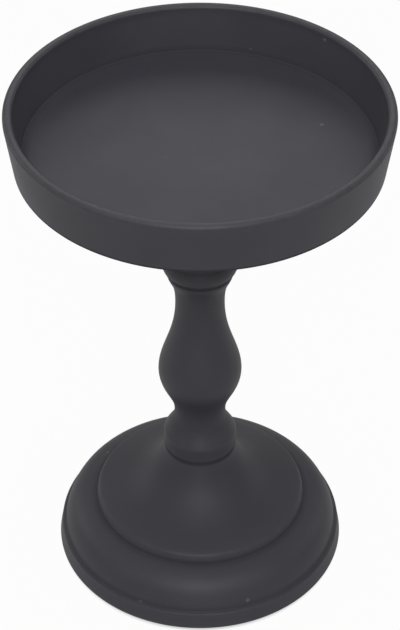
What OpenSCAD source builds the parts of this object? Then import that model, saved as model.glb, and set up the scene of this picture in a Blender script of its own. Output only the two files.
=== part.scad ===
// Pedestal candle holder: a shallow round tray on a turned column and a bell base, held by one tie rod.
// Millimetres, +Z up, origin on the surface that it stands on, at the centre of the pad.

/* [Tray] */
// Outer diameter of the tray at its rim
tray_d = 100; // [90:1:130]
// Height of the tray
tray_h = 15.3; // [12:0.1:30]
// Lean of the tray's wall, in degrees: the tray is narrower at its foot
tray_draft = 8.2; // [0:0.2:12]
// Thickness of the tray's wall
tray_wall = 2.5; // [2.3:0.1:4]
// Thickness of the tray's floor
tray_floor = 2.4; // [1.8:0.1:4]
// Rounding of both edges of the rim
rim_round = 1; // [0.4:0.1:1.1]
// Rounding of the tray's lower outer edge
tray_heel = 0.8; // [0.3:0.1:1.5]
// Fillet where the wall meets the floor inside
tray_fillet = 0.3; // [0.2:0.1:1.5]

/* [Tray boss] */
// Diameter of the flange that is welded under the tray
boss_flange_d = 24; // [20:0.5:30]
// Thickness of that flange
boss_flange_t = 2; // [1.5:0.1:3]
// Diameter of the threaded barrel
boss_d = 12; // [10:0.5:15]
// Length of the barrel below the flange
boss_h = 9; // [7:0.5:14]
// Metal left above the blind thread
boss_cap = 1.5; // [1:0.1:3]

/* [Upper flare] */
// Diameter of the flare where it meets the tray
flare_d = 44; // [38:1:60]
// Height of the trumpet curve
flare_h = 29.4; // [24:0.1:40]
// Thickness of the flare's edge
flare_lip = 1.6; // [1.2:0.1:3]
// Diameter of the waist above the bead
waist_d = 18.8; // [17:0.1:20]
// Wall of the hollow trumpet
flare_wall = 2.4; // [1.8:0.1:3]
// Thickness of the solid floor inside the trumpet, above the bead
flare_floor = 4; // [2:0.5:8]
// Diameter of the bead
bead_d = 20.6; // [20:0.1:24]
// Height of the bead
bead_h = 5.2; // [4.6:0.1:8]
// How far the bead swells out beyond its own edges
bead_swell = 0.9; // [0.4:0.1:1.2]
// Height of the straight waist above the bead
waist_h = 0.5; // [0.2:0.1:2]

/* [Column] */
// Diameter of the column's head, under the bead
head_d = 18.2; // [17:0.1:20]
// Height of the hollow curve under the head
head_h = 11; // [8:0.1:16]
// Diameter of the upper neck
upper_neck_d = 13.4; // [12:0.1:16]
// Height from the widest part of the bulb up to the upper neck
upper_swell_h = 24; // [18:0.1:36]
// Diameter of the bulb
bulb_d = 23; // [18:0.1:30]
// Height from the lower neck up to the widest part of the bulb
lower_swell_h = 14.9; // [10:0.1:25]
// Diameter of the lower neck
lower_neck_d = 14.3; // [12:0.1:16]
// Height of the shoulder between the lower neck and the collar
shoulder_h = 7.7; // [5:0.1:12]
// Lean of the shoulder where it meets the collar, in degrees from upright
shoulder_lean = 29; // [20:1:60]
// Diameter of the collar that stands on the base
collar_d = 20.4; // [19:0.1:26]
// Height of the collar's straight wall
collar_h = 5; // [3:0.1:10]
// Rounding of the collar's edges and of the head's edge
edge_round = 0.5; // [0.2:0.1:0.9]
// Diameter of the locating spigot at each end of the column
spigot_d = 11; // [9.5:0.1:12]
// Height of the upper spigot
upper_spigot_h = 2.5; // [1.5:0.1:3.5]
// Height of the lower spigot
lower_spigot_h = 2.5; // [1.5:0.1:3.5]

/* [Base] */
// Diameter of the base's top, under the collar
crown_d = 19.2; // [18:0.1:19.4]
// Height of the bell
bell_h = 19.3; // [15:0.1:30]
// Slope of the bell at its top, in degrees below level
bell_top_slope = 77; // [60:1:85]
// Slope of the bell at its lip, in degrees below level
bell_lip_slope = 26; // [15:1:35]
// Diameter of the bell's lip
bell_lip_d = 59.6; // [50:0.1:66]
// Height of the lip, from the step under it up to where it starts to round over
bell_lip_h = 2.4; // [1.5:0.1:4]
// How far the lip rounds outward over that height
bell_lip_out = 1; // [0.6:0.1:2.5]
// Height of the rounded moulding between the step and the hollow over the foot
ogee_h = 8.5; // [5:0.1:12]
// Slope of that moulding at its top, in degrees below level
ogee_top_slope = 22; // [5:1:30]
// Slope of that moulding at its foot, in degrees below level
ogee_foot_slope = 75; // [60:1:86]
// How far the foot stands out past that moulding's lower edge
foot_out = 1.9; // [1.3:0.1:3]
// Height of the hollow over the foot
groove_h = 1.4; // [0.8:0.1:2.5]
// Diameter of the foot at the bottom
foot_d = 81.6; // [76:0.2:110]
// Height of the foot's band
foot_h = 5; // [3.5:0.1:9]
// How much narrower the foot is at its top, on the radius
foot_lean = 0.7; // [0:0.1:0.9]
// Rounding of the foot's edges
foot_round = 0.5; // [0.3:0.1:1.2]
// Wall of the hollow base
base_wall = 2.4; // [1.8:0.1:3]
// Thickness of the base's top, where the washer bears
crown_t = 6.5; // [5:0.1:8]
// Thickness of the foot's wall
foot_wall = 3.6; // [3:0.1:5]

/* [Tie rod and nut] */
// Diameter of the tie rod, a plain metric size
rod_d = 6; // [5:0.5:6.5]
// Chamfer on the rod's ends
rod_chamfer = 0.7; // [0.3:0.1:1]
// How far the rod stands out below the nut
rod_tail = 3; // [1:0.5:6]
// Diameter of the flat washer
washer_d = 18; // [14:0.5:20]
// Thickness of the flat washer
washer_t = 1.6; // [1:0.1:2.5]
// Diameter of the split spring washer
spring_d = 11.8; // [11:0.1:14]
// Thickness of the split spring washer
spring_t = 1.6; // [1:0.1:2]
// Width of the split
spring_split = 0.8; // [0.4:0.1:1.5]
// Width of the nut across its flats
nut_af = 10; // [9:0.5:13]
// Height of the nut
nut_h = 5; // [4:0.1:6.5]

/* [Underside] */
// Thickness of the bottom plate
plate_t = 1; // [0.8:0.1:2]
// Width of the ledge that the bottom plate seats on
plate_ledge = 1.2; // [0.8:0.1:1.6]
// Thickness of the felt pad
pad_t = 1.2; // [0.8:0.1:3]
// Distance from the foot's edge in to the pad's edge
pad_inset = 1.5; // [1:0.1:2]

/* [Clearances] */
// Around the rod in the pieces that it passes through
rod_gap = 0.3; // [0.1:0.05:0.5]
// Around each spigot in its socket
spigot_gap = 0.1; // [0.05:0.05:0.3]
// Beyond the end of a spigot, and past the tip of the rod
end_gap = 0.4; // [0.2:0.1:0.8]
// Around the bottom plate in its seat
plate_gap = 0.1; // [0.05:0.05:0.3]
// Around the flat washer, on the land that it bears on
washer_room = 0.6; // [0.3:0.1:1.5]

/* [Hidden] */

$fn = 128;
// Straight pieces in each curve, and in each small rounding
curve_steps = 14;
round_steps = 5;
// How far a cut runs past a face, and the distance under which two points are one
cut = 1;
tiny = 0.001;

charcoal = "#3d3d41";
zinc = "#b9bbbd";
felt = "#1c1c1e";

// Heights of the joint faces, from the ground up
base_z = pad_t;
base_h = foot_h + groove_h + ogee_h + bell_h;
column_z = base_z + base_h;
column_h = collar_h + shoulder_h + lower_swell_h + upper_swell_h + head_h;
flare_z = column_z + column_h;
tray_z = flare_z + bead_h + waist_h + flare_h + flare_lip;

washer_z = column_z - crown_t - washer_t;
spring_z = washer_z - spring_t;
nut_z = spring_z - nut_h;
rod_bottom = nut_z - rod_tail;
rod_top = tray_z - boss_cap - end_gap;

bore_r = rod_d / 2 + rod_gap;
socket_r = spigot_d / 2 + spigot_gap;
cavity_r = foot_d / 2 - foot_wall;
seat_r = cavity_r + plate_ledge;

// Points on a cubic curve that leaves p along a and comes to q along b, without p itself.
// Where it is used, the numbers in a and b are shares of that curve's own height or width.
function curve(p, a, b, q, n = curve_steps) =
    [for (i = [1 : n]) let (t = i / n, s = 1 - t)
        s * s * s * p + 3 * s * s * t * (p + a) + 3 * s * t * t * (q - b) + t * t * t * q];

// Points on an arc about c, from angle a0 to angle a1
function arc(c, r, a0, a1, n = round_steps) =
    [for (i = [0 : n]) let (a = a0 + (a1 - a0) * i / n) c + r * [cos(a), sin(a)]];

// Points of a bead between two heights, swelling out to r at its middle
function bead(z0, z1, r, swell, n = 2 * round_steps) =
    let (half = (z1 - z0) / 2, big = (half * half + swell * swell) / (2 * swell), turn = asin(half / big))
    arc([r - big, (z0 + z1) / 2], big, -turn, turn, n);

// A solid of revolution from an outline of [radius, height] points, where repeated points count once
module turned(outline) {
    last = len(outline) - 1;
    rotate_extrude()
        polygon([for (i = [0 : last]) if (i == 0 || norm(outline[i] - outline[i - 1]) > tiny) outline[i]]);
}

// A round hole or a round bar on the axis
module rod_shape(r, z0, z1) {
    translate([0, 0, z0]) cylinder(r = r, h = z1 - z0);
}

// Shallow dish with a leaning wall and a rounded rim
module tray() {
    lean = [cos(tray_draft), -sin(tray_draft)];
    rim = [tray_d / 2 - rim_round, tray_h - rim_round];
    inner_rim = rim - [(tray_wall - 2 * rim_round) / cos(tray_draft), 0];
    heel_x = rim.x + (rim_round - tray_heel - (rim.y - tray_heel) * sin(tray_draft)) / cos(tray_draft);
    fillet_z = tray_floor + tray_fillet;
    fillet_x = inner_rim.x
        - (rim_round + tray_fillet + (inner_rim.y - fillet_z) * sin(tray_draft)) / cos(tray_draft);
    color(charcoal)
        translate([0, 0, tray_z])
            turned(concat(
                [[0, 0]],
                arc([heel_x, tray_heel], tray_heel, -90, -tray_draft),
                arc(rim, rim_round, -tray_draft, 90),
                arc(inner_rim, rim_round, 90, 180 - tray_draft),
                arc([fillet_x, fillet_z], tray_fillet, -tray_draft, -90),
                [[0, tray_floor]]
            ));
}

// Threaded boss welded under the tray: a blind hole, so nothing shows on the tray's floor
module tray_boss() {
    color(zinc)
        difference() {
            union() {
                rod_shape(boss_flange_d / 2, tray_z - boss_flange_t, tray_z);
                rod_shape(boss_d / 2, tray_z - boss_flange_t - boss_h, tray_z - boss_flange_t / 2);
            }
            rod_shape(rod_d / 2, tray_z - boss_flange_t - boss_h - cut, tray_z - boss_cap);
        }
}

// Outline of the trumpet from its waist up to its edge, drawn in by a wall thickness
function trumpet(wall) =
    let (
        low = [waist_d / 2 - wall, bead_h + waist_h],
        high = [flare_d / 2 - wall, low.y + flare_h]
    )
    concat([low], curve(low, [0, 0.55 * flare_h], [0.3 * (high.x - low.x), 0.12 * flare_h], high));

// Hollow trumpet between the column and the tray, with a bead at its foot
module upper_flare() {
    floor_z = bead_h + flare_floor;
    top_z = tray_z - flare_z;
    inside = trumpet(flare_wall);
    color(charcoal)
        translate([0, 0, flare_z])
            turned(concat(
                [[bore_r, upper_spigot_h + end_gap], [socket_r, upper_spigot_h + end_gap], [socket_r, 0]],
                bead(0, bead_h, bead_d / 2, bead_swell),
                [[waist_d / 2, bead_h]],
                trumpet(0),
                [[flare_d / 2, top_z], [flare_d / 2 - flare_wall, top_z]],
                [for (i = [len(inside) - 1 : -1 : 0]) if (inside[i].y > floor_z) inside[i]],
                [[lookup(floor_z, [for (p = inside) [p.y, p.x]]), floor_z], [bore_r, floor_z]]
            ));
}

// Turned column: collar, shoulder, lower neck, bulb, upper neck and head, bored for the rod
module column() {
    collar_r = collar_d / 2;
    head_r = head_d / 2;
    neck_low = [lower_neck_d / 2, collar_h + shoulder_h];
    bulb = [bulb_d / 2, neck_low.y + lower_swell_h];
    neck_high = [upper_neck_d / 2, bulb.y + upper_swell_h];
    head = [head_r, neck_high.y + head_h - edge_round];
    lean = [-sin(shoulder_lean), cos(shoulder_lean)];
    shoulder = [collar_r, collar_h] + edge_round * lean;
    color(charcoal)
        translate([0, 0, column_z])
            turned(concat(
                [[bore_r, -lower_spigot_h], [spigot_d / 2, -lower_spigot_h], [spigot_d / 2, 0]],
                arc([collar_r - edge_round, edge_round], edge_round, -90, 0),
                [[collar_r, collar_h - edge_round]],
                curve([collar_r, collar_h - edge_round], [0, edge_round / 2], lean * edge_round / 2,
                      shoulder, round_steps),
                curve(shoulder, lean * 0.38 * shoulder_h, [0, 0.48 * shoulder_h], neck_low),
                curve(neck_low, [0, 0.4 * lower_swell_h], [0, 0.4 * lower_swell_h], bulb),
                curve(bulb, [0, 0.28 * upper_swell_h], [0, 0.49 * upper_swell_h], neck_high),
                curve(neck_high, [0, 0.67 * head_h], [0.13 * (head_r - neck_high.x), 0.28 * head_h], head),
                arc([head_r - edge_round, head.y], edge_round, 0, 90),
                [[spigot_d / 2, column_h], [spigot_d / 2, column_h + upper_spigot_h],
                 [bore_r, column_h + upper_spigot_h]]
            ));
}

// Direction of a face that falls outward at a slope below level
function falling(slope) = [cos(slope), -sin(slope)];

// Outside of the base from its top down to the hollow over the foot: bell, rounded lip, step and moulding
function bell_outline() =
    let (
        lip = [bell_lip_d / 2, foot_h + groove_h + ogee_h],
        top = [crown_d / 2, base_h],
        edge = lip + [-bell_lip_out, bell_lip_h],
        ogee = [foot_d / 2 - foot_out, foot_h + groove_h]
    )
    concat(
        [top],
        curve(top, falling(bell_top_slope) * 0.68 * bell_h, falling(bell_lip_slope) * 0.24 * bell_h, edge),
        curve(edge, falling(bell_lip_slope) * 0.65 * bell_lip_out, [0, -0.15] * bell_lip_h, lip, round_steps),
        curve(lip, falling(ogee_top_slope) * 0.54 * ogee_h, falling(ogee_foot_slope) * 0.75 * ogee_h, ogee)
    );

// Hollow bell base with a stepped moulding, a hollow over the foot and a foot band
module base() {
    foot_top = [foot_d / 2 - foot_lean - foot_round, foot_h];
    // The cavity is the outside moved in and down alike, which keeps about a wall's thickness on its slopes
    shift = base_wall * 0.85;
    land_r = washer_d / 2 + washer_room;
    land_z = base_h - crown_t;
    outside = bell_outline();
    inside = [for (p = outside) [min(max(p.x - shift, land_r), cavity_r), p.y - shift]];
    radii = [for (i = [len(inside) - 1 : -1 : 0]) [inside[i].y, inside[i].x]];
    color(charcoal)
        translate([0, 0, base_z])
            turned(concat(
                [[socket_r, base_h]],
                outside,
                curve(outside[len(outside) - 1], falling(ogee_foot_slope) * 0.8 * groove_h,
                      [0.25 * foot_out, 0], foot_top, round_steps),
                arc(foot_top - [0, foot_round], foot_round, 90, 0),
                arc([foot_d / 2 - foot_round, foot_round], foot_round, 0, -90),
                [[seat_r, 0], [seat_r, plate_t], [cavity_r, plate_t]],
                [for (i = [len(inside) - 1 : -1 : 0])
                    if (inside[i].y > plate_t && inside[i].y < land_z) inside[i]],
                [[lookup(land_z, radii), land_z], [bore_r, land_z]],
                [[bore_r, base_h - lower_spigot_h - end_gap], [socket_r, base_h - lower_spigot_h - end_gap]]
            ));
}

// Threaded rod that pulls the tray down on to the base
module tie_rod() {
    r = rod_d / 2;
    color(zinc)
        turned([
            [0, rod_bottom], [r - rod_chamfer, rod_bottom], [r, rod_bottom + rod_chamfer],
            [r, rod_top - rod_chamfer], [r - rod_chamfer, rod_top], [0, rod_top]
        ]);
}

// Flat washer that bears on the underside of the base's top
module flat_washer() {
    color(zinc)
        difference() {
            rod_shape(washer_d / 2, washer_z, washer_z + washer_t);
            rod_shape(bore_r, washer_z - cut, washer_z + washer_t + cut);
        }
}

// Spring washer, split on one side
module spring_washer() {
    color(zinc)
        difference() {
            rod_shape(spring_d / 2, spring_z, spring_z + spring_t);
            rod_shape(bore_r, spring_z - cut, spring_z + spring_t + cut);
            translate([0, -spring_split / 2, spring_z - cut])
                cube([spring_d, spring_split, spring_t + 2 * cut]);
        }
}

// Hexagon nut with chamfered corners
module hex_nut() {
    corner_r = nut_af / sqrt(3);
    bevel = (corner_r - nut_af / 2) * tan(30);
    color(zinc)
        translate([0, 0, nut_z])
            difference() {
                intersection() {
                    cylinder(r = corner_r, h = nut_h, $fn = 6);
                    turned([
                        [0, 0], [nut_af / 2, 0], [corner_r, bevel],
                        [corner_r, nut_h - bevel], [nut_af / 2, nut_h], [0, nut_h]
                    ]);
                }
                rod_shape(rod_d / 2, -cut, nut_h + cut);
            }
}

// Pressed disc that closes the hollow base
module bottom_plate() {
    color(zinc)
        rod_shape(seat_r - plate_gap, base_z, base_z + plate_t);
}

// Felt pad that the holder stands on
module felt_pad() {
    color(felt)
        rod_shape(foot_d / 2 - pad_inset, 0, pad_t);
}

tray();
tray_boss();
upper_flare();
column();
base();
tie_rod();
flat_washer();
spring_washer();
hex_nut();
bottom_plate();
felt_pad();
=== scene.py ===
import math

import bmesh
import bpy
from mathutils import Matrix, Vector


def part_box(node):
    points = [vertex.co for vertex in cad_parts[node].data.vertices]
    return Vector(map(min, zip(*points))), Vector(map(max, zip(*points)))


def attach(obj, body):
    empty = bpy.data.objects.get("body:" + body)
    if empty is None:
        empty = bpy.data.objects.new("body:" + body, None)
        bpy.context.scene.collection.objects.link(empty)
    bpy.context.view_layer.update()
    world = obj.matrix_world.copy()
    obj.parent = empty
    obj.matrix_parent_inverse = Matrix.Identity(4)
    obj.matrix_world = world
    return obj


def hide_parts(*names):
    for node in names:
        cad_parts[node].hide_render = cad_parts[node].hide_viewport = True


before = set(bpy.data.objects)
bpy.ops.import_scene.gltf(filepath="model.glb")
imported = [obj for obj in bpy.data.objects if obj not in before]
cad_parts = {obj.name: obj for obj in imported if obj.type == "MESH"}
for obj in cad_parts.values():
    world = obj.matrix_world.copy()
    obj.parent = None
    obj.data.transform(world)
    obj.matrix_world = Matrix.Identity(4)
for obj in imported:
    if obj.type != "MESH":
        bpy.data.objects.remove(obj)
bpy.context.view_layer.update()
mm = 0.001
print("frame loaded:", len(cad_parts), "CAD nodes")


# Outlines: points are (radius, height) in millimetres above the lowest point of the piece

def point(radius, height):
    return Vector((radius, height))


def curvePoints(start, leave, arrive, end, steps=36):
    # cubic curve that leaves start along leave and comes to end along arrive, without start itself
    points = []
    for i in range(1, steps + 1):
        t = i / steps
        s = 1 - t
        points.append(start * s**3 + (start + leave) * (3 * s * s * t)
                      + (end - arrive) * (3 * s * t * t) + end * t**3)
    return points


def arcPoints(centre, radius, fromAngle, toAngle, steps=10):
    points = []
    for i in range(steps + 1):
        a = math.radians(fromAngle + (toAngle - fromAngle) * i / steps)
        points.append(centre + radius * Vector((math.cos(a), math.sin(a))))
    return points


def beadPoints(bottom, top, radius, swell, steps=24):
    # a bulge between two heights that swells out to radius at its middle
    half = (top - bottom) / 2
    big = (half * half + swell * swell) / (2 * swell)
    turn = math.degrees(math.asin(half / big))
    return arcPoints(point(radius - big, (top + bottom) / 2), big, -turn, turn, steps)


def boxSize(node):
    # radius, lowest and highest point of a turned node, in millimetres
    low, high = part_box(node)
    return high.x / mm, low.z / mm, high.z / mm


lathe = {
    "segments": 240,       # faces round the axis
    "supportGap": 0.12,    # mm from each end of a straight stretch to its support ring
    "supportFrom": 5,      # stretches of up to this many gaps get no support
    "longestStep": 2.0,    # mm, longest face along a straight stretch
    "edgeReach": 0.5,      # mm round a corner that counts as its edge
    "hollowReach": 1.4,    # mm round an inner corner that counts as its hollow
    "fullTurn": 1.2,       # radians of turn that count as a full edge or hollow
    "sharpAngle": 40,      # degrees between faces that shade as a sharp edge
}


def withSupport(outline, closed):
    # a ring close to each end of a straight stretch keeps the shading on the small roundings
    points = []
    count = len(outline)
    for i in range(count if closed else count - 1):
        a, b = outline[i], outline[(i + 1) % count]
        points.append(a)
        length = (b - a).length
        gap = lathe["supportGap"]
        if length > lathe["supportFrom"] * gap:
            steps = max(1, math.ceil((length - 2 * gap) / lathe["longestStep"]))
            for k in range(steps + 1):
                along = gap + (length - 2 * gap) * k / steps
                points.append(a + (b - a) * (along / length))
    if not closed:
        points.append(outline[-1])
    return points


def turning(points, closed, reach):
    # how far the outline turns within about reach mm of each point, in radians: edges +, hollows -
    count = len(points)
    following = points[1:] + points[:1]
    area = sum(a.x * b.y - b.x * a.y for a, b in zip(points, following))
    places, turns, along = [], [], 0
    for i, p in enumerate(points):
        back, ahead = p - points[i - 1], following[i] - p
        end = not closed and i in (0, count - 1)
        turn = math.atan2(back.x * ahead.y - back.y * ahead.x, back.dot(ahead))
        turns.append(0 if end else math.copysign(turn, turn * area))
        places.append(along)
        along += ahead.length
    return [sum(turn * math.exp(-((place - here) / reach)**2) for turn, place in zip(turns, places))
            for here in places]


def markRings(mesh, ringSizes, name, values):
    # one value a ring, kept on the mesh for the materials to read
    perVertex = []
    for size, value in zip(ringSizes, values):
        perVertex += [min(max(value, 0), 1)] * size
    mesh.attributes.new(name, "FLOAT", "POINT").data.foreach_set("value", perVertex)


def turnedMesh(name, outline, bottom, closed):
    # turns the outline round Z; where it isn't closed, its first and last points lie on the axis
    kept = [p for i, p in enumerate(outline) if i == 0 or (p - outline[i - 1]).length > 1e-4]
    points = withSupport(kept, closed)
    bm = bmesh.new()
    rings = []
    for p in points:
        z = (p.y + bottom) * mm
        if p.x < 1e-6:
            rings.append([bm.verts.new((0, 0, z))])
            continue
        ring = []
        for k in range(lathe["segments"]):
            a = 2 * math.pi * k / lathe["segments"]
            ring.append(bm.verts.new((p.x * mm * math.cos(a), p.x * mm * math.sin(a), z)))
        rings.append(ring)
    pairs = [(i, i + 1) for i in range(len(rings) - 1)]
    if closed:
        pairs.append((len(rings) - 1, 0))
    for i, j in pairs:
        low, high = rings[i], rings[j]
        for k in range(lathe["segments"]):
            n = (k + 1) % lathe["segments"]
            if len(low) == 1:
                bm.faces.new((low[0], high[n], high[k]))
            elif len(high) == 1:
                bm.faces.new((low[k], low[n], high[0]))
            else:
                bm.faces.new((low[k], low[n], high[n], high[k]))
    bmesh.ops.recalc_face_normals(bm, faces=bm.faces)
    mesh = bpy.data.meshes.new(name)
    ringSizes = [len(ring) for ring in rings]
    bm.to_mesh(mesh)
    bm.free()
    edges = turning(points, closed, lathe["edgeReach"])
    hollows = turning(points, closed, lathe["hollowReach"])
    markRings(mesh, ringSizes, "edge", [v / lathe["fullTurn"] for v in edges])
    markRings(mesh, ringSizes, "hollow", [-v / lathe["fullTurn"] for v in hollows])
    mesh.polygons.foreach_set("use_smooth", [True] * len(mesh.polygons))
    mesh.set_sharp_from_angle(angle=math.radians(lathe["sharpAngle"]))
    piece = bpy.data.objects.new(name, mesh)
    bpy.context.scene.collection.objects.link(piece)
    return piece


# Tray

tray = {
    "rimRound": 1.0,      # mm, rounding of both edges of the rim
    "heel": 0.8,          # rounding of the lower outer edge
    "fillet": 0.3,        # where the wall meets the floor inside
    "wall": 2.5,
    "floor": 2.4,
    "draft": 8.2,         # degrees, lean of the wall
}


def makeTray():
    radius, bottom, top = boxSize("tray")
    height = top - bottom
    lean = math.radians(tray["draft"])
    rim = point(radius - tray["rimRound"], height - tray["rimRound"])
    innerRim = rim - point((tray["wall"] - 2 * tray["rimRound"]) / math.cos(lean), 0)
    heelX = rim.x + (tray["rimRound"] - tray["heel"]
                     - (rim.y - tray["heel"]) * math.sin(lean)) / math.cos(lean)
    filletZ = tray["floor"] + tray["fillet"]

    def insideFace(level, clear=0):
        # radius of the wall's inside face at a level, less a distance square to it
        fall = (innerRim.y - level) * math.sin(lean)
        return innerRim.x - (tray["rimRound"] + clear + fall) / math.cos(lean)

    filletX = insideFace(filletZ, tray["fillet"])
    outline = [point(0, 0)]
    outline += arcPoints(point(heelX, tray["heel"]), tray["heel"], -90, -tray["draft"])
    outline += arcPoints(rim, tray["rimRound"], -tray["draft"], 90)
    outline += arcPoints(innerRim, tray["rimRound"], 90, 180 - tray["draft"])
    outline += arcPoints(point(filletX, filletZ), tray["fillet"], -tray["draft"], -90)
    outline += [point(0, tray["floor"])]
    piece = turnedMesh("trayPiece", outline, bottom, closed=False)
    litWall = []     # 1 on the wall's inside face, where light is painted
    for vertex in piece.data.vertices:
        reach, level = vertex.co.xy.length / mm, vertex.co.z / mm - bottom
        onWall = tray["floor"] < level < innerRim.y
        litWall.append(float(onWall and abs(reach - insideFace(level)) < tray["rimRound"]))
    piece.data.attributes.new("litWall", "FLOAT", "POINT").data.foreach_set("value", litWall)
    return piece


# Upper flare

flare = {
    "rimRadius": 22.0,     # mm, where the trumpet meets the tray
    "trumpetHeight": 29.4,
    "trumpetLow": 0.55,    # length of the curve's lower handle, as a share of that height
    "trumpetHigh": (0.3, 0.12),    # upper handle, as shares of the widening and the height
    "waistRadius": 9.4,
    "wall": 2.4,
    "floor": 4.0,
    "beadHeight": 5.2,
    "beadRadius": 10.3,
    "beadSwell": 0.9,
    "waistHeight": 0.5,
    "socketRadius": 5.6,
    "socketDepth": 2.9,
    "boreRadius": 3.3,
}


def trumpetPoints(wall):
    low = point(flare["waistRadius"] - wall, flare["beadHeight"] + flare["waistHeight"])
    high = point(flare["rimRadius"] - wall, low.y + flare["trumpetHeight"])
    across, up = flare["trumpetHigh"]
    leave = point(0, flare["trumpetLow"] * flare["trumpetHeight"])
    arrive = point(across * (high.x - low.x), up * flare["trumpetHeight"])
    return [low] + curvePoints(low, leave, arrive, high)


def radiusAt(points, height):
    # radius of an outline at a height, between its two nearest points
    for a, b in zip(points, points[1:]):
        if min(a.y, b.y) <= height <= max(a.y, b.y) and abs(a.y - b.y) > 1e-9:
            return a.x + (b.x - a.x) * (height - a.y) / (b.y - a.y)
    return points[-1].x


def makeFlare():
    radius, bottom, top = boxSize("upper_flare")
    height = top - bottom
    floorZ = flare["beadHeight"] + flare["floor"]
    inside = trumpetPoints(flare["wall"])
    outline = [point(flare["boreRadius"], flare["socketDepth"]),
               point(flare["socketRadius"], flare["socketDepth"]),
               point(flare["socketRadius"], 0)]
    outline += beadPoints(0, flare["beadHeight"], flare["beadRadius"], flare["beadSwell"])
    outline += [point(flare["waistRadius"], flare["beadHeight"])]
    outline += trumpetPoints(0)
    outline += [point(flare["rimRadius"], height),
                point(flare["rimRadius"] - flare["wall"], height)]
    outline += [p for p in reversed(inside) if p.y > floorZ]
    outline += [point(radiusAt(inside, floorZ), floorZ), point(flare["boreRadius"], floorZ)]
    return turnedMesh("flarePiece", outline, bottom, closed=True)


# Column

column = {
    "headRadius": 9.1,     # mm
    "headHeight": 11.0,
    "upperNeckRadius": 6.7,
    "upperSwellHeight": 24.0,
    "bulbRadius": 11.5,
    "lowerSwellHeight": 14.9,
    "lowerNeckRadius": 7.15,
    "shoulderHeight": 7.7,
    "shoulderLean": 29.0,  # degrees
    "collarRadius": 10.2,
    "collarHeight": 5.0,
    "edgeRound": 0.5,
    "spigotRadius": 5.5,
    "spigotHeight": 2.5,
    "boreRadius": 3.3,
    "shoulderPull": (0.38, 0.48),    # handles of each curve, as shares of its height
    "lowerSwellPull": (0.4, 0.4),
    "upperSwellPull": (0.28, 0.49),
    "headPull": (0.67, 0.28),
    "headFlare": 0.13,               # share of the head's widening at its upper handle
}


def makeColumn():
    bottom = boxSize("column")[1] + column["spigotHeight"]
    edge = column["edgeRound"]
    collar = column["collarRadius"]
    neckLow = point(column["lowerNeckRadius"], column["collarHeight"] + column["shoulderHeight"])
    bulb = point(column["bulbRadius"], neckLow.y + column["lowerSwellHeight"])
    neckHigh = point(column["upperNeckRadius"], bulb.y + column["upperSwellHeight"])
    top = neckHigh.y + column["headHeight"]
    head = point(column["headRadius"], top - edge)
    slant = math.radians(column["shoulderLean"])
    lean = point(-math.sin(slant), math.cos(slant))
    shoulder = point(collar, column["collarHeight"]) + edge * lean
    collarTop = point(collar, column["collarHeight"] - edge)
    rise = point(0, 1)

    def pulls(curve, height):
        low, high = column[curve + "Pull"]
        return low * column[height], high * column[height]

    outline = [point(column["boreRadius"], -column["spigotHeight"]),
               point(column["spigotRadius"], -column["spigotHeight"]),
               point(column["spigotRadius"], 0)]
    outline += arcPoints(point(collar - edge, edge), edge, -90, 0)
    outline += [collarTop]
    outline += curvePoints(collarTop, rise * (edge / 2), lean * (edge / 2), shoulder, 8)
    leave, arrive = pulls("shoulder", "shoulderHeight")
    outline += curvePoints(shoulder, lean * leave, rise * arrive, neckLow)
    leave, arrive = pulls("lowerSwell", "lowerSwellHeight")
    outline += curvePoints(neckLow, rise * leave, rise * arrive, bulb)
    leave, arrive = pulls("upperSwell", "upperSwellHeight")
    outline += curvePoints(bulb, rise * leave, rise * arrive, neckHigh)
    leave, arrive = pulls("head", "headHeight")
    widening = column["headFlare"] * (head.x - neckHigh.x)
    outline += curvePoints(neckHigh, rise * leave, point(widening, arrive), head)
    outline += arcPoints(point(head.x - edge, head.y), edge, 0, 90)
    outline += [point(column["spigotRadius"], top),
                point(column["spigotRadius"], top + column["spigotHeight"]),
                point(column["boreRadius"], top + column["spigotHeight"])]
    return turnedMesh("columnPiece", outline, bottom, closed=True)


# Base

base = {
    "crownRadius": 9.6,       # mm
    "bellHeight": 19.3,
    "topSlope": 77.0,         # degrees below level
    "lipSlope": 26.0,
    "lipRadius": 29.8,        # mm
    "lipHeight": 2.4,
    "lipOut": 1.0,
    "ogeeHeight": 8.5,
    "ogeeTopSlope": 22.0,     # degrees below level
    "ogeeFootSlope": 75.0,
    "footOut": 1.9,
    "grooveHeight": 1.4,
    "footHeight": 5.0,
    "footLean": 0.7,
    "footRound": 0.5,
    "wall": 2.4,
    "crown": 6.5,
    "footWall": 3.6,
    "ledge": 1.2,
    "plate": 1.0,
    "landRadius": 9.6,
    "socketRadius": 5.6,
    "socketDepth": 2.9,
    "boreRadius": 3.3,
    "bellPull": (0.68, 0.24),     # handles of each curve, as shares of its height
    "ogeePull": (0.54, 0.75),
    "lipPull": (0.65, 0.15),      # shares of lipOut and lipHeight
    "groovePull": (0.8, 0.25),    # shares of grooveHeight and footOut
    "insideShift": 0.85,          # share of the wall that the inside is moved in and down
}


def falling(slope, length):
    # the way along a face that falls outward at a slope below level
    return point(math.cos(math.radians(slope)), -math.sin(math.radians(slope))) * length


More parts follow.
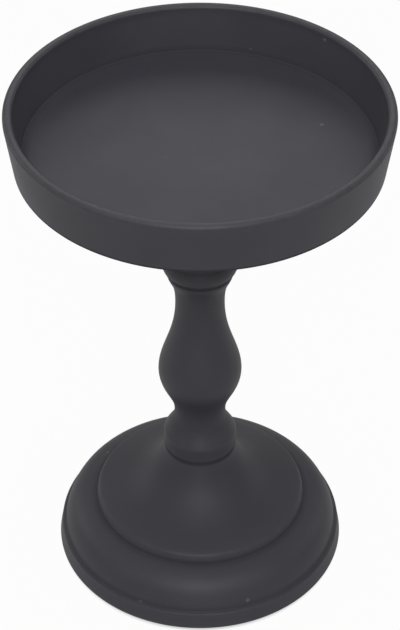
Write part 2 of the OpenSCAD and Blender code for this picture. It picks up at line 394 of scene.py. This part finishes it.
def bellPoints(footRadius):
    bell, moulding, lipHeight = base["bellHeight"], base["ogeeHeight"], base["lipHeight"]
    lip = point(base["lipRadius"], base["footHeight"] + base["grooveHeight"] + moulding)
    top = point(base["crownRadius"], lip.y + bell)
    edge = lip + point(-base["lipOut"], lipHeight)
    ogee = point(footRadius - base["footOut"], base["footHeight"] + base["grooveHeight"])
    outline = [top]
    leave, arrive = base["bellPull"]
    outline += curvePoints(top, falling(base["topSlope"], leave * bell),
                           falling(base["lipSlope"], arrive * bell), edge)
    leave, arrive = base["lipPull"]
    outline += curvePoints(edge, falling(base["lipSlope"], leave * base["lipOut"]),
                           point(0, -arrive) * lipHeight, lip, 16)
    leave, arrive = base["ogeePull"]
    outline += curvePoints(lip, falling(base["ogeeTopSlope"], leave * moulding),
                           falling(base["ogeeFootSlope"], arrive * moulding), ogee)
    return outline


def makeBase():
    radius, bottom, top = boxSize("base")
    height = top - bottom
    outside = bellPoints(radius)
    cavity = radius - base["footWall"]
    seat = cavity + base["ledge"]
    footTop = point(radius - base["footLean"] - base["footRound"], base["footHeight"])
    landZ = height - base["crown"]
    shift = base["wall"] * base["insideShift"]
    inside = [point(min(max(p.x - shift, base["landRadius"]), cavity), p.y - shift)
              for p in outside]
    outline = [point(base["socketRadius"], height)]
    outline += outside
    leave, arrive = base["groovePull"]
    outline += curvePoints(outside[-1],
                           falling(base["ogeeFootSlope"], leave * base["grooveHeight"]),
                           point(arrive, 0) * base["footOut"], footTop, 12)
    soft = base["footRound"]
    outline += arcPoints(footTop - point(0, soft), soft, 90, 0)
    outline += arcPoints(point(radius - soft, soft), soft, 0, -90)
    outline += [point(seat, 0), point(seat, base["plate"]), point(cavity, base["plate"])]
    outline += [p for p in reversed(inside) if base["plate"] < p.y < landZ]
    outline += [point(radiusAt(inside, landZ), landZ), point(base["boreRadius"], landZ),
                point(base["boreRadius"], height - base["socketDepth"]),
                point(base["socketRadius"], height - base["socketDepth"])]
    return turnedMesh("basePiece", outline, bottom, closed=True)


# Hardware inside: boss, rod, washers, nut and bottom plate

thread = {
    "pitch": 1.0,         # mm
    "depth": 0.54,
    "steps": 8,           # rings a pitch
    "segments": 36,
    "flankSlope": 2.7,    # depth shares that a flank falls in one pitch
    "crestFlat": 0.2,     # share taken off it, which leaves the crest flat
    "sharpAngle": 25,     # degrees, for all hardware that isn't simply turned
}


def threadCut(height, angle):
    # how deep the thread is cut at a height and angle, with flat crests and roots
    phase = (height / thread["pitch"] - angle / (2 * math.pi)) % 1
    share = thread["flankSlope"] * abs(phase - 0.5) - thread["crestFlat"]
    return thread["depth"] * min(max(share, 0), 1)


def loopMesh(name, loops, bottom, closed, capped=False):
    # loops are lists of (radius, height, angle) points in millimetres, all of one length
    bm = bmesh.new()
    rings = [[bm.verts.new((r * mm * math.cos(a), r * mm * math.sin(a), (z + bottom) * mm))
              for r, z, a in loop] for loop in loops]
    pairs = list(zip(rings, rings[1:]))
    if closed:
        pairs.append((rings[-1], rings[0]))
    for first, second in pairs:
        for k in range(len(first)):
            n = (k + 1) % len(first)
            bm.faces.new((first[k], first[n], second[n], second[k]))
    if capped:
        bm.faces.new(rings[0])
        bm.faces.new(rings[-1])
    bmesh.ops.recalc_face_normals(bm, faces=bm.faces)
    mesh = bpy.data.meshes.new(name)
    bm.to_mesh(mesh)
    bm.free()
    mesh.polygons.foreach_set("use_smooth", [True] * len(mesh.polygons))
    mesh.set_sharp_from_angle(angle=math.radians(thread["sharpAngle"]))
    piece = bpy.data.objects.new(name, mesh)
    bpy.context.scene.collection.objects.link(piece)
    return piece


rod = {
    "chamfer": 0.7,       # mm
}


def makeRod():
    radius, bottom, top = boxSize("tie_rod")
    height = top - bottom
    count = round(height / thread["pitch"] * thread["steps"])
    angles = [2 * math.pi * k / thread["segments"] for k in range(thread["segments"])]
    loops = []
    for i in range(count + 1):
        z = height * i / count
        limit = radius - rod["chamfer"] + min(z, height - z)
        loops.append([(min(radius - threadCut(z, a), limit), z, a) for a in angles])
    return loopMesh("tieRodPiece", loops, bottom, closed=False, capped=True)


nut = {
    "boreSteps": 36,      # rings along the thread
    "chamfer": 0.45,      # mm, at both mouths of the bore
    "mouth": 0.6,         # share of the chamfer that the mouths are wider than the rod
    "slack": 0.05,        # mm from the rod's radius out to the bottom of its grooves
    "shift": 0.5,         # pitches off the rod's thread: the two overlap, and at 0 they would mesh
    "bevelStart": 0.98,   # share of the flats' distance at which the bevel begins
    "bevelSlope": 30,     # degrees
    "segments": 72,
}


def makeNut():
    corner, bottom, top = boxSize("hex_nut")
    height = top - bottom
    flat = corner * math.cos(math.radians(30))
    rodRadius = boxSize("tie_rod")[0]
    mouth = rodRadius + nut["chamfer"] * nut["mouth"]
    start = flat * nut["bevelStart"]
    loops = []
    for k in range(nut["segments"]):
        a = 2 * math.pi * k / nut["segments"]
        side = flat / math.cos(a % (math.pi / 3) - math.pi / 6)
        bevel = (side - start) * math.tan(math.radians(nut["bevelSlope"]))
        loop = [(mouth, 0, a)]
        for i in range(nut["boreSteps"] + 1):
            z = nut["chamfer"] + (height - 2 * nut["chamfer"]) * i / nut["boreSteps"]
            cut = threadCut(z + nut["shift"] * thread["pitch"], a)
            loop.append((rodRadius + nut["slack"] - cut, z, a))
        loop += [(mouth, height, a), (start, height, a), (side, height - bevel, a),
                 (side, bevel, a), (start, 0, a)]
        loops.append(loop)
    return loopMesh("hexNutPiece", loops, bottom, closed=True)


springWasher = {
    "rise": 0.12,         # mm that its two ends stand apart
    "gap": 8.0,           # degrees
    "round": 0.2,
    "segments": 90,
}


def makeSpringWasher():
    radius, bottom, top = boxSize("spring_washer")
    inner = column["boreRadius"]
    thick = top - bottom - springWasher["rise"]
    edge = springWasher["round"]
    loops = []
    for k in range(springWasher["segments"] + 1):
        share = k / springWasher["segments"]
        a = math.radians(springWasher["gap"] / 2 + (360 - springWasher["gap"]) * share)
        low = springWasher["rise"] * share
        near, far = inner + edge, radius - edge
        lower, upper = low + edge, low + thick - edge
        section = []
        for x, z, start in ((far, lower, -90), (far, upper, 0), (near, upper, 90), (near, lower, 180)):
            section += arcPoints(point(x, z), edge, start, start + 90, 4)
        loops.append([(p.x, p.y, a) for p in section])
    return loopMesh("springWasherPiece", loops, bottom, closed=False, capped=True)


flatWasher = {
    "punchRound": 0.35,   # mm, edges on the side the punch went in
    "edgeRound": 0.1,
}


def makeFlatWasher():
    radius, bottom, top = boxSize("flat_washer")
    inner = column["boreRadius"]
    height = top - bottom
    big, small = flatWasher["punchRound"], flatWasher["edgeRound"]
    outline = arcPoints(point(radius - big, big), big, -90, 0)
    outline += arcPoints(point(radius - small, height - small), small, 0, 90, 4)
    outline += arcPoints(point(inner + small, height - small), small, 90, 180, 4)
    outline += arcPoints(point(inner + big, big), big, 180, 270)
    return turnedMesh("flatWasherPiece", outline, bottom, closed=True)


boss = {
    "flange": 2.0,        # mm
    "radius": 6.0,
    "cap": 1.5,
    "weld": 0.9,
    "edgeRound": 0.3,
    "chamfer": 0.5,
}


def makeBoss():
    radius, bottom, top = boxSize("tray_boss")
    height = top - bottom
    bore = boxSize("tie_rod")[0]
    edge, weld = boss["edgeRound"], boss["weld"]
    flangeZ = height - boss["flange"]
    outline = [point(0, height - boss["cap"]), point(bore, height - boss["cap"]),
               point(bore, boss["chamfer"]), point(bore + boss["chamfer"], 0)]
    outline += arcPoints(point(boss["radius"] - edge, edge), edge, -90, 0, 5)
    outline += arcPoints(point(boss["radius"] + weld, flangeZ - weld), weld, 180, 90, 8)
    outline += arcPoints(point(radius - edge, flangeZ + edge), edge, -90, 0, 5)
    outline += [point(radius, height), point(0, height)]
    return turnedMesh("trayBossPiece", outline, bottom, closed=False)


plate = {
    "edgeRound": 0.25,    # mm
    "pressed": 0.2,       # depth of the pressed ring
    "ringRadius": 26.0,
    "ringWidth": 5.0,
}


def makePlate():
    radius, bottom, top = boxSize("bottom_plate")
    height = top - bottom
    edge, sink = plate["edgeRound"], plate["pressed"]
    inner = plate["ringRadius"] - plate["ringWidth"] / 2
    outer = plate["ringRadius"] + plate["ringWidth"] / 2
    slope = point(plate["ringWidth"] / 3, 0)

    def pressedRing(z):
        # from the middle outwards: a shallow groove with soft sides
        low = point(plate["ringRadius"], z + sink)
        return ([point(inner, z)] + curvePoints(point(inner, z), slope, slope, low, 8)
                + curvePoints(low, slope, slope, point(outer, z), 8))

    outline = [point(0, 0)] + pressedRing(0)
    outline += arcPoints(point(radius - edge, edge), edge, -90, 0, 5)
    outline += arcPoints(point(radius - edge, height - sink - edge), edge, 0, 90, 5)
    outline += list(reversed(pressedRing(height - sink))) + [point(0, height - sink)]
    return turnedMesh("bottomPlatePiece", outline, bottom, closed=False)


# Felt pad

felt = {
    "edgeRound": 0.45,    # mm
}


def makeFelt():
    radius, bottom, top = boxSize("felt_pad")
    height = top - bottom
    edge = felt["edgeRound"]
    outline = [point(0, 0)]
    outline += arcPoints(point(radius - edge, edge), edge, -90, 0)
    outline += arcPoints(point(radius - edge, height - edge), edge, 0, 90)
    outline += [point(0, height)]
    return turnedMesh("feltPiece", outline, bottom, closed=False)


# Materials: node helpers

def connect(tree, value, socket):
    # a socket takes a plain value or the output of another node
    if isinstance(value, bpy.types.NodeSocket):
        tree.links.new(value, socket)
    else:
        socket.default_value = value


def calculate(tree, operation, first, second=0.0):
    node = tree.nodes.new("ShaderNodeMath")
    node.operation = operation
    connect(tree, first, node.inputs[0])
    connect(tree, second, node.inputs[1])
    return node.outputs[0]


def noise(tree, vector, scale, detail=2.0, roughness=0.5):
    node = tree.nodes.new("ShaderNodeTexNoise")
    tree.links.new(vector, node.inputs["Vector"])
    connect(tree, scale, node.inputs["Scale"])
    node.inputs["Detail"].default_value = detail
    node.inputs["Roughness"].default_value = roughness
    return node.outputs["Fac"]


def between(tree, value, low, high, toLow=0.0, toHigh=1.0):
    # 0 at low, 1 at high and level past them, smooth in between; low may be the larger one
    # toLow and toHigh take the place of 0 and 1
    node = tree.nodes.new("ShaderNodeMapRange")
    node.interpolation_type = "SMOOTHSTEP"
    tree.links.new(value, node.inputs["Value"])
    amounts = {"From Min": low, "From Max": high, "To Min": toLow, "To Max": toHigh}
    for socket, amount in amounts.items():
        connect(tree, amount, node.inputs[socket])
    return node.outputs["Result"]


def blend(tree, share, first, second):
    # colour first where share is 0, second where it is 1
    node = tree.nodes.new("ShaderNodeMix")
    node.data_type = "RGBA"
    connect(tree, share, node.inputs["Factor"])
    connect(tree, first, node.inputs[6])
    connect(tree, second, node.inputs[7])
    return node.outputs[2]


def objectPlace(tree):
    return tree.nodes.new("ShaderNodeTexCoord").outputs["Object"]


def meshMark(tree, name):
    node = tree.nodes.new("ShaderNodeAttribute")
    node.attribute_name = name
    return node.outputs["Fac"]


def newGroup(name, inputs, output):
    # a shader group with number inputs and one number output, and its two end nodes
    tree = bpy.data.node_groups.new(name, "ShaderNodeTree")
    for label in inputs:
        tree.interface.new_socket(label, in_out="INPUT", socket_type="NodeSocketFloat")
    tree.interface.new_socket(output, in_out="OUTPUT", socket_type="NodeSocketFloat")
    given = tree.nodes.new("NodeGroupInput").outputs
    return tree, given, tree.nodes.new("NodeGroupOutput").inputs[output]


def useGroup(tree, group, values):
    # places a group in a material with its own values, and gives its output
    node = tree.nodes.new("ShaderNodeGroup")
    node.node_tree = group
    for label, value in values.items():
        connect(tree, value, node.inputs[label])
    return node.outputs[0]


# Materials: effects as node groups, sizes in millimetres

def perMetre(tree, size):
    return calculate(tree, "DIVIDE", 1 / mm, size)


def makeCoatTexture():
    # the height of a sprayed and baked coat: slow waves with a fine grain on them
    inputs = ("Wave Size", "Grain Size", "Grain Share")
    tree, given, height = newGroup("coatTexture", inputs, "Height")
    place = objectPlace(tree)
    waves = noise(tree, place, perMetre(tree, given["Wave Size"]), 1.0)
    grain = noise(tree, place, perMetre(tree, given["Grain Size"]), 3.0, 0.6)
    fine = calculate(tree, "MULTIPLY", grain, given["Grain Share"])
    tree.links.new(calculate(tree, "ADD", waves, fine), height)
    return tree


def makeEdgeWear():
    # where outer edges have lost some of their finish, in broken patches
    tree, given, mask = newGroup("edgeWear", ("Amount", "Patch Size"), "Mask")
    place = objectPlace(tree)
    patches = noise(tree, place, perMetre(tree, given["Patch Size"]), 4.0, 0.65)
    patches = between(tree, patches, 0.38, 0.62)
    worn = calculate(tree, "MULTIPLY", meshMark(tree, "edge"), patches)
    tree.links.new(calculate(tree, "MULTIPLY", worn, given["Amount"]), mask)
    return tree


def makeDust():
    # fine dust that lies on level faces
    tree, given, mask = newGroup("dust", ("Amount", "Clump Size"), "Mask")
    place = objectPlace(tree)
    split = tree.nodes.new("ShaderNodeSeparateXYZ")
    tree.links.new(tree.nodes.new("ShaderNodeNewGeometry").outputs["Normal"], split.inputs[0])
    level = calculate(tree, "MULTIPLY", between(tree, split.outputs["Z"], 0.5, 1.0), given["Amount"])
    clumps = noise(tree, place, perMetre(tree, given["Clump Size"]), 5.0, 0.7)
    clumps = between(tree, clumps, 0.3, 0.75)
    tree.links.new(calculate(tree, "MULTIPLY", level, clumps), mask)
    return tree


def makePaintedCreaseShade():
    # painted shade: inner corners and the joints between pieces, darkened where light hardly reaches
    tree, given, mask = newGroup("paintedCreaseShade", ("Amount", "Joint Reach"), "Mask")
    split = tree.nodes.new("ShaderNodeSeparateXYZ")
    tree.links.new(objectPlace(tree), split.inputs[0])
    shade = meshMark(tree, "hollow")
    reach = calculate(tree, "MULTIPLY", given["Joint Reach"], mm)
    for node, end in (("base", 1), ("upper_flare", 0), ("upper_flare", 1)):
        away = calculate(tree, "SUBTRACT", split.outputs["Z"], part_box(node)[end].z)
        share = calculate(tree, "DIVIDE", calculate(tree, "ABSOLUTE", away), reach)
        shade = calculate(tree, "MAXIMUM", shade, between(tree, share, 1.0, 0.4))
    tree.links.new(calculate(tree, "MULTIPLY", shade, given["Amount"]), mask)
    return tree


def makePaintedWallLight():
    # painted light: the inside wall of the tray made paler, in drifts, for the light it catches
    tree, given, mask = newGroup("paintedWallLight", ("Amount", "Drift Size"), "Mask")
    drifts = noise(tree, objectPlace(tree), perMetre(tree, given["Drift Size"]), 2.0)
    drifts = between(tree, drifts, 0.35, 0.65, 0.5, 1.0)
    share = calculate(tree, "MULTIPLY", meshMark(tree, "litWall"), drifts)
    tree.links.new(calculate(tree, "MULTIPLY", share, given["Amount"]), mask)
    return tree


def makeLint():
    # single specks of lint that the coat caught, at random places, in the few cells that have one
    inputs = ("Amount", "Speck Size", "Spacing", "Share Of Cells")
    tree, given, mask = newGroup("lint", inputs, "Mask")
    cells = tree.nodes.new("ShaderNodeTexVoronoi")
    tree.links.new(objectPlace(tree), cells.inputs["Vector"])
    tree.links.new(perMetre(tree, given["Spacing"]), cells.inputs["Scale"])
    away = calculate(tree, "MULTIPLY", cells.outputs["Distance"], given["Spacing"])
    near = between(tree, calculate(tree, "DIVIDE", away, given["Speck Size"]), 0.55, 0.2)
    chance = tree.nodes.new("ShaderNodeSeparateColor")
    tree.links.new(cells.outputs["Color"], chance.inputs[0])
    kept = calculate(tree, "LESS_THAN", chance.outputs[0], given["Share Of Cells"])
    specks = calculate(tree, "MULTIPLY", near, kept)
    tree.links.new(calculate(tree, "MULTIPLY", specks, given["Amount"]), mask)
    return tree


def makeHandling():
    # faint cloudy marks of touching and wiping, around 0
    tree, given, marks = newGroup("handling", ("Amount", "Mark Size"), "Marks")
    place = objectPlace(tree)
    clouds = noise(tree, place, perMetre(tree, given["Mark Size"]), 3.0, 0.55)
    centred = calculate(tree, "SUBTRACT", clouds, 0.5)
    tree.links.new(calculate(tree, "MULTIPLY", centred, given["Amount"]), marks)
    return tree


def makeTurnedLines():
    # the fine rings that a lathe or a grinding wheel leaves round the axis, as a height
    tree, given, height = newGroup("turnedLines", ("Line Size", "Waviness"), "Height")
    place = objectPlace(tree)
    flat = tree.nodes.new("ShaderNodeVectorMath")
    flat.operation = "MULTIPLY"
    tree.links.new(place, flat.inputs[0])
    flat.inputs[1].default_value = (1, 1, 0)
    length = tree.nodes.new("ShaderNodeVectorMath")
    length.operation = "LENGTH"
    tree.links.new(flat.outputs[0], length.inputs[0])
    split = tree.nodes.new("ShaderNodeSeparateXYZ")
    tree.links.new(place, split.inputs[0])
    most = calculate(tree, "MULTIPLY", given["Waviness"], mm)
    drift = calculate(tree, "MULTIPLY", noise(tree, place, 60.0), most)     # 60 drifts a metre
    ringPlace = tree.nodes.new("ShaderNodeCombineXYZ")
    tree.links.new(calculate(tree, "ADD", length.outputs["Value"], drift), ringPlace.inputs["X"])
    tree.links.new(split.outputs["Z"], ringPlace.inputs["Y"])
    lines = noise(tree, ringPlace.outputs[0], perMetre(tree, given["Line Size"]), 3.0, 0.6)
    tree.links.new(lines, height)
    return tree


# Materials: the finishes

def newMaterial(name):
    material = bpy.data.materials.new(name)
    material.use_nodes = True
    tree = material.node_tree
    return material, tree, tree.nodes["Principled BSDF"]


def setBump(tree, shader, height, depth):
    # depth is the height of the whole relief in millimetres
    bump = tree.nodes.new("ShaderNodeBump")
    bump.inputs["Distance"].default_value = depth * mm
    tree.links.new(height, bump.inputs["Height"])
    tree.links.new(bump.outputs["Normal"], shader.inputs["Normal"])


paint = {
    "colour": (0.0395, 0.0381, 0.0478, 1),
    "deepColour": (0.0375, 0.0361, 0.0453, 1),   # where the coat lies thicker
    "edgeColour": (0.070, 0.068, 0.076, 1),      # where it is thin over an edge
    "dustColour": (0.34, 0.33, 0.32, 1),
    "roughness": 0.55,
    "dustRoughness": 0.5,      # added where the dust and the painted crease shade are whole
    "creaseRoughness": 1.8,
    "specular": 0.4,
    "toneSize": 16.0,          # mm, like all sizes here
    "waveSize": 1.3,
    "grainSize": 0.22,
    "grainShare": 0.3,
    "relief": 0.012,
    "edgeAmount": 0.3,
    "edgePatch": 2.6,
    "dustAmount": 0.012,
    "dustClump": 0.5,
    "wallLightColour": (0.053, 0.053, 0.062, 1),       # painted light on the inside wall of the tray
    "wallLightAmount": 0.7,
    "wallLightDrift": 22.0,
    "lintColour": (0.22, 0.22, 0.23, 1),
    "lintAmount": 0.35,
    "lintSize": 1.4,
    "lintSpacing": 10.0,       # the space is cut into cells of this size
    "lintCells": 0.4,          # share of them that hold a speck
    # painted shade for inner corners and the joints between pieces
    "creaseShadeColour": (0.012, 0.012, 0.014, 1),
    "creaseShadeAmount": 0.24,
    "jointReach": 1.3,
    "handling": 0.12,          # spread of roughness
    "markSize": 14.0,
}


def makePaint():
    material, tree, shader = newMaterial("charcoalPaint")
    place = objectPlace(tree)
    tone = between(tree, noise(tree, place, 1 / (paint["toneSize"] * mm), 4.0, 0.6), 0.3, 0.7)
    colour = blend(tree, tone, paint["deepColour"], paint["colour"])
    # painted light: the tray's inside wall paler, in drifts
    litWall = useGroup(tree, paintedWallLight, {"Amount": paint["wallLightAmount"], "Drift Size": paint["wallLightDrift"]})
    colour = blend(tree, litWall, colour, paint["wallLightColour"])
    worn = useGroup(tree, edgeWear, {"Amount": paint["edgeAmount"], "Patch Size": paint["edgePatch"]})
    colour = blend(tree, worn, colour, paint["edgeColour"])
    dusty = useGroup(tree, dust, {"Amount": paint["dustAmount"], "Clump Size": paint["dustClump"]})
    colour = blend(tree, dusty, colour, paint["dustColour"])
    # painted shade in inner corners and at joints, where the coat is also rougher
    creaseShadeMask = useGroup(tree, paintedCreaseShade, {"Amount": paint["creaseShadeAmount"],
                                      "Joint Reach": paint["jointReach"]})
    colour = blend(tree, creaseShadeMask, colour, paint["creaseShadeColour"])
    specks = useGroup(tree, lint, {"Amount": paint["lintAmount"], "Speck Size": paint["lintSize"],
                                   "Spacing": paint["lintSpacing"], "Share Of Cells": paint["lintCells"]})
    colour = blend(tree, specks, colour, paint["lintColour"])
    tree.links.new(colour, shader.inputs["Base Color"])
    marks = useGroup(tree, handling, {"Amount": paint["handling"], "Mark Size": paint["markSize"]})
    rough = calculate(tree, "ADD", marks, paint["roughness"])
    for mask, added in ((dusty, paint["dustRoughness"]), (creaseShadeMask, paint["creaseRoughness"])):
        rough = calculate(tree, "ADD", rough, calculate(tree, "MULTIPLY", mask, added))
    tree.links.new(rough, shader.inputs["Roughness"])
    shader.inputs["Specular IOR Level"].default_value = paint["specular"]
    height = useGroup(tree, coatTexture, {"Wave Size": paint["waveSize"],
                                          "Grain Size": paint["grainSize"],
                                          "Grain Share": paint["grainShare"]})
    setBump(tree, shader, height, paint["relief"])
    return material


zinc = {
    "colour": (0.58, 0.59, 0.61, 1),
    "dullColour": (0.40, 0.405, 0.41, 1),
    "wornColour": (0.70, 0.70, 0.70, 1),
    "roughness": 0.36,
    "cloudSize": 4.0,         # mm
    "lineSize": 0.12,
    "waviness": 0.3,
    "relief": 0.006,
    "edgeAmount": 0.6,
    "edgePatch": 1.0,
    "handling": 0.3,
    "markSize": 5.0,
}


def makeZinc():
    material, tree, shader = newMaterial("zincPlate")
    place = objectPlace(tree)
    clouds = between(tree, noise(tree, place, 1 / (zinc["cloudSize"] * mm), 5.0, 0.65), 0.35, 0.65)
    colour = blend(tree, clouds, zinc["dullColour"], zinc["colour"])
    worn = useGroup(tree, edgeWear, {"Amount": zinc["edgeAmount"], "Patch Size": zinc["edgePatch"]})
    colour = blend(tree, worn, colour, zinc["wornColour"])
    tree.links.new(colour, shader.inputs["Base Color"])
    shader.inputs["Metallic"].default_value = 1
    marks = useGroup(tree, handling, {"Amount": zinc["handling"], "Mark Size": zinc["markSize"]})
    tree.links.new(calculate(tree, "ADD", marks, zinc["roughness"]), shader.inputs["Roughness"])
    lines = useGroup(tree, turnedLines, {"Line Size": zinc["lineSize"], "Waviness": zinc["waviness"]})
    setBump(tree, shader, lines, zinc["relief"])
    return material


cloth = {
    "colour": (0.010, 0.010, 0.012, 1),
    "fibreColour": (0.045, 0.045, 0.048, 1),
    "roughness": 0.95,
    "sheen": 0.25,
    "fibreSize": 0.35,        # mm
    "cloudSize": 3.0,
    "relief": 0.12,
    "dustAmount": 0.05,
    "dustClump": 0.8,
}


def makeFeltCloth():
    material, tree, shader = newMaterial("blackFelt")
    place = objectPlace(tree)
    fibres = noise(tree, place, 1 / (cloth["fibreSize"] * mm), 6.0, 0.75)
    clouds = noise(tree, place, 1 / (cloth["cloudSize"] * mm), 3.0)
    share = calculate(tree, "MULTIPLY", between(tree, fibres, 0.45, 0.75),
                      between(tree, clouds, 0.2, 0.8, 0.4))
    colour = blend(tree, share, cloth["colour"], cloth["fibreColour"])
    dusty = useGroup(tree, dust, {"Amount": cloth["dustAmount"], "Clump Size": cloth["dustClump"]})
    colour = blend(tree, dusty, colour, paint["dustColour"])
    tree.links.new(colour, shader.inputs["Base Color"])
    shader.inputs["Roughness"].default_value = cloth["roughness"]
    shader.inputs["Sheen Weight"].default_value = cloth["sheen"]
    setBump(tree, shader, fibres, cloth["relief"])
    return material


# Scene: floor, lamps and camera

studio = {
    "floorSize": 6.0,          # m
    "worldStrength": 0.15,
    "floorColour": (0.36, 0.36, 0.36, 1),
    "cameraGlow": 0.97,        # share of plain white in floor and world, as the camera sees them
    "paintedShadowGlow": 0.5,        # that share on the floor under the pad, lowered there as a painted contact shadow
    "paintedShadowWidth": 1.5,       # mm from the pad's edge out to the plain floor, over which the painted shadow fades
    "glossGlow": 0.7,          # share of plain white in the floor, as a reflection sees it
    "aim": (0, 0, 0.08),       # m, what the lamps point at
    "distance": 1.3,           # m from there to each lamp
}

# azimuth from the camera's side and elevation in degrees, size in m, power in W
lamps = {
    "keyLamp": (0, 47, 0.5, 7.3),
    "lowLamp": (0, 15, 0.5, 1.3),
    "topLamp": (0, 85, 0.8, 4.4),
    "frontLampLeft": (-60, 25, 0.5, 1.3),
    "frontLampRight": (60, 25, 0.5, 1.3),
    "sideLampLeft": (-120, 20, 0.5, 2.8),
    "sideLampRight": (120, 20, 0.5, 1.8),
    "backLamp": (180, 32, 0.8, 3.4),
}


def makeFloor():
    half = studio["floorSize"] / 2
    bm = bmesh.new()
    signs = ((-1, -1), (1, -1), (1, 1), (-1, 1))
    bm.faces.new([bm.verts.new((x * half, y * half, 0)) for x, y in signs])
    mesh = bpy.data.meshes.new("floor")
    bm.to_mesh(mesh)
    bm.free()
    floor = bpy.data.objects.new("floor", mesh)
    bpy.context.scene.collection.objects.link(floor)
    material, tree, shader = newMaterial("paleFloor")
    tree.nodes.remove(shader)
    diffuse = tree.nodes.new("ShaderNodeBsdfDiffuse")
    diffuse.inputs["Color"].default_value = studio["floorColour"]
    glow = tree.nodes.new("ShaderNodeEmission")
    glow.inputs["Strength"].default_value = 1
    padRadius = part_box("felt_pad")[1].x
    fromAxis = tree.nodes.new("ShaderNodeVectorMath")
    fromAxis.operation = "LENGTH"
    tree.links.new(tree.nodes.new("ShaderNodeNewGeometry").outputs["Position"], fromAxis.inputs[0])
    # painted contact shadow: the floor's share of white is lower under the pad and just round it
    paintedContactShadow = between(tree, fromAxis.outputs["Value"], padRadius,
                      padRadius + studio["paintedShadowWidth"] * mm,
                      studio["paintedShadowGlow"], studio["cameraGlow"])
    path = tree.nodes.new("ShaderNodeLightPath")
    share = 0.0
    for ray, amount in (("Is Camera Ray", paintedContactShadow), ("Is Glossy Ray", studio["glossGlow"]),
                        ("Is Transmission Ray", studio["glossGlow"])):
        share = calculate(tree, "ADD", calculate(tree, "MULTIPLY", path.outputs[ray], amount), share)
    mix = tree.nodes.new("ShaderNodeMixShader")
    tree.links.new(share, mix.inputs[0])
    tree.links.new(diffuse.outputs[0], mix.inputs[1])
    tree.links.new(glow.outputs[0], mix.inputs[2])
    tree.links.new(mix.outputs[0], tree.nodes["Material Output"].inputs["Surface"])
    mesh.materials.append(material)


def makeWorld():
    world = bpy.data.worlds.new("studioWorld")
    bpy.context.scene.world = world
    world.use_nodes = True
    tree = world.node_tree
    background = tree.nodes["Background"]
    background.inputs["Color"].default_value = (1, 1, 1, 1)
    background.inputs["Strength"].default_value = studio["worldStrength"]
    backdrop = tree.nodes.new("ShaderNodeBackground")
    backdrop.inputs["Color"].default_value = (1, 1, 1, 1)
    backdrop.inputs["Strength"].default_value = studio["cameraGlow"]
    path = tree.nodes.new("ShaderNodeLightPath")
    mix = tree.nodes.new("ShaderNodeMixShader")
    tree.links.new(path.outputs["Is Camera Ray"], mix.inputs[0])
    tree.links.new(background.outputs[0], mix.inputs[1])
    tree.links.new(backdrop.outputs[0], mix.inputs[2])
    tree.links.new(mix.outputs[0], tree.nodes["World Output"].inputs["Surface"])


def makeLamp(name, azimuth, elevation, size, power):
    lamp = bpy.data.lights.new(name, "AREA")
    lamp.shape = "DISK"
    lamp.size = size
    lamp.energy = power
    a, e = math.radians(azimuth), math.radians(elevation)
    away = Vector((math.sin(a) * math.cos(e), -math.cos(a) * math.cos(e), math.sin(e)))
    holder = bpy.data.objects.new(name, lamp)
    holder.location = Vector(studio["aim"]) + away * studio["distance"]
    holder.rotation_euler = (-away).to_track_quat("-Z", "Y").to_euler()
    holder.visible_camera = False
    bpy.context.scene.collection.objects.link(holder)


camera = {
    "distance": 0.480,       # m in front of the axis
    "aboveRim": 0.3308,      # m over the tray's rim
    "pitch": 50.256,         # degrees from straight down
    "lens": 131.377,
    "sensor": 36.0,
}


def makeCamera():
    data = bpy.data.cameras.new("photoCamera")
    data.sensor_width = camera["sensor"]
    data.lens = camera["lens"]
    holder = bpy.data.objects.new("photoCamera", data)
    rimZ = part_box("tray")[1].z
    holder.location = (0, -camera["distance"], rimZ + camera["aboveRim"])
    holder.rotation_euler = (math.radians(camera["pitch"]), 0, 0)
    bpy.context.scene.collection.objects.link(holder)
    bpy.context.scene.camera = holder


# Putting it together

def dress(piece, material, replaced):
    piece.data.materials.append(material)
    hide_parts(replaced)
    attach(piece, "root")


coatTexture = makeCoatTexture()
edgeWear = makeEdgeWear()
dust = makeDust()
paintedCreaseShade = makePaintedCreaseShade()
paintedWallLight = makePaintedWallLight()
lint = makeLint()
handling = makeHandling()
turnedLines = makeTurnedLines()
paintMaterial = makePaint()
zincMaterial = makeZinc()
feltMaterial = makeFeltCloth()
dress(makeTray(), paintMaterial, "tray")
dress(makeFlare(), paintMaterial, "upper_flare")
dress(makeColumn(), paintMaterial, "column")
dress(makeBase(), paintMaterial, "base")
dress(makeFelt(), feltMaterial, "felt_pad")
hardware = {
    "tray_boss": makeBoss,
    "tie_rod": makeRod,
    "flat_washer": makeFlatWasher,
    "spring_washer": makeSpringWasher,
    "hex_nut": makeNut,
    "bottom_plate": makePlate,
}
for replaced, make in hardware.items():
    dress(make(), zincMaterial, replaced)
print("pieces turned and dressed")

makeFloor()
makeWorld()
for name, (azimuth, elevation, size, power) in lamps.items():
    makeLamp(name, azimuth, elevation, size, power)
makeCamera()
bpy.context.scene.view_settings.view_transform = "Standard"
print("studio ready")
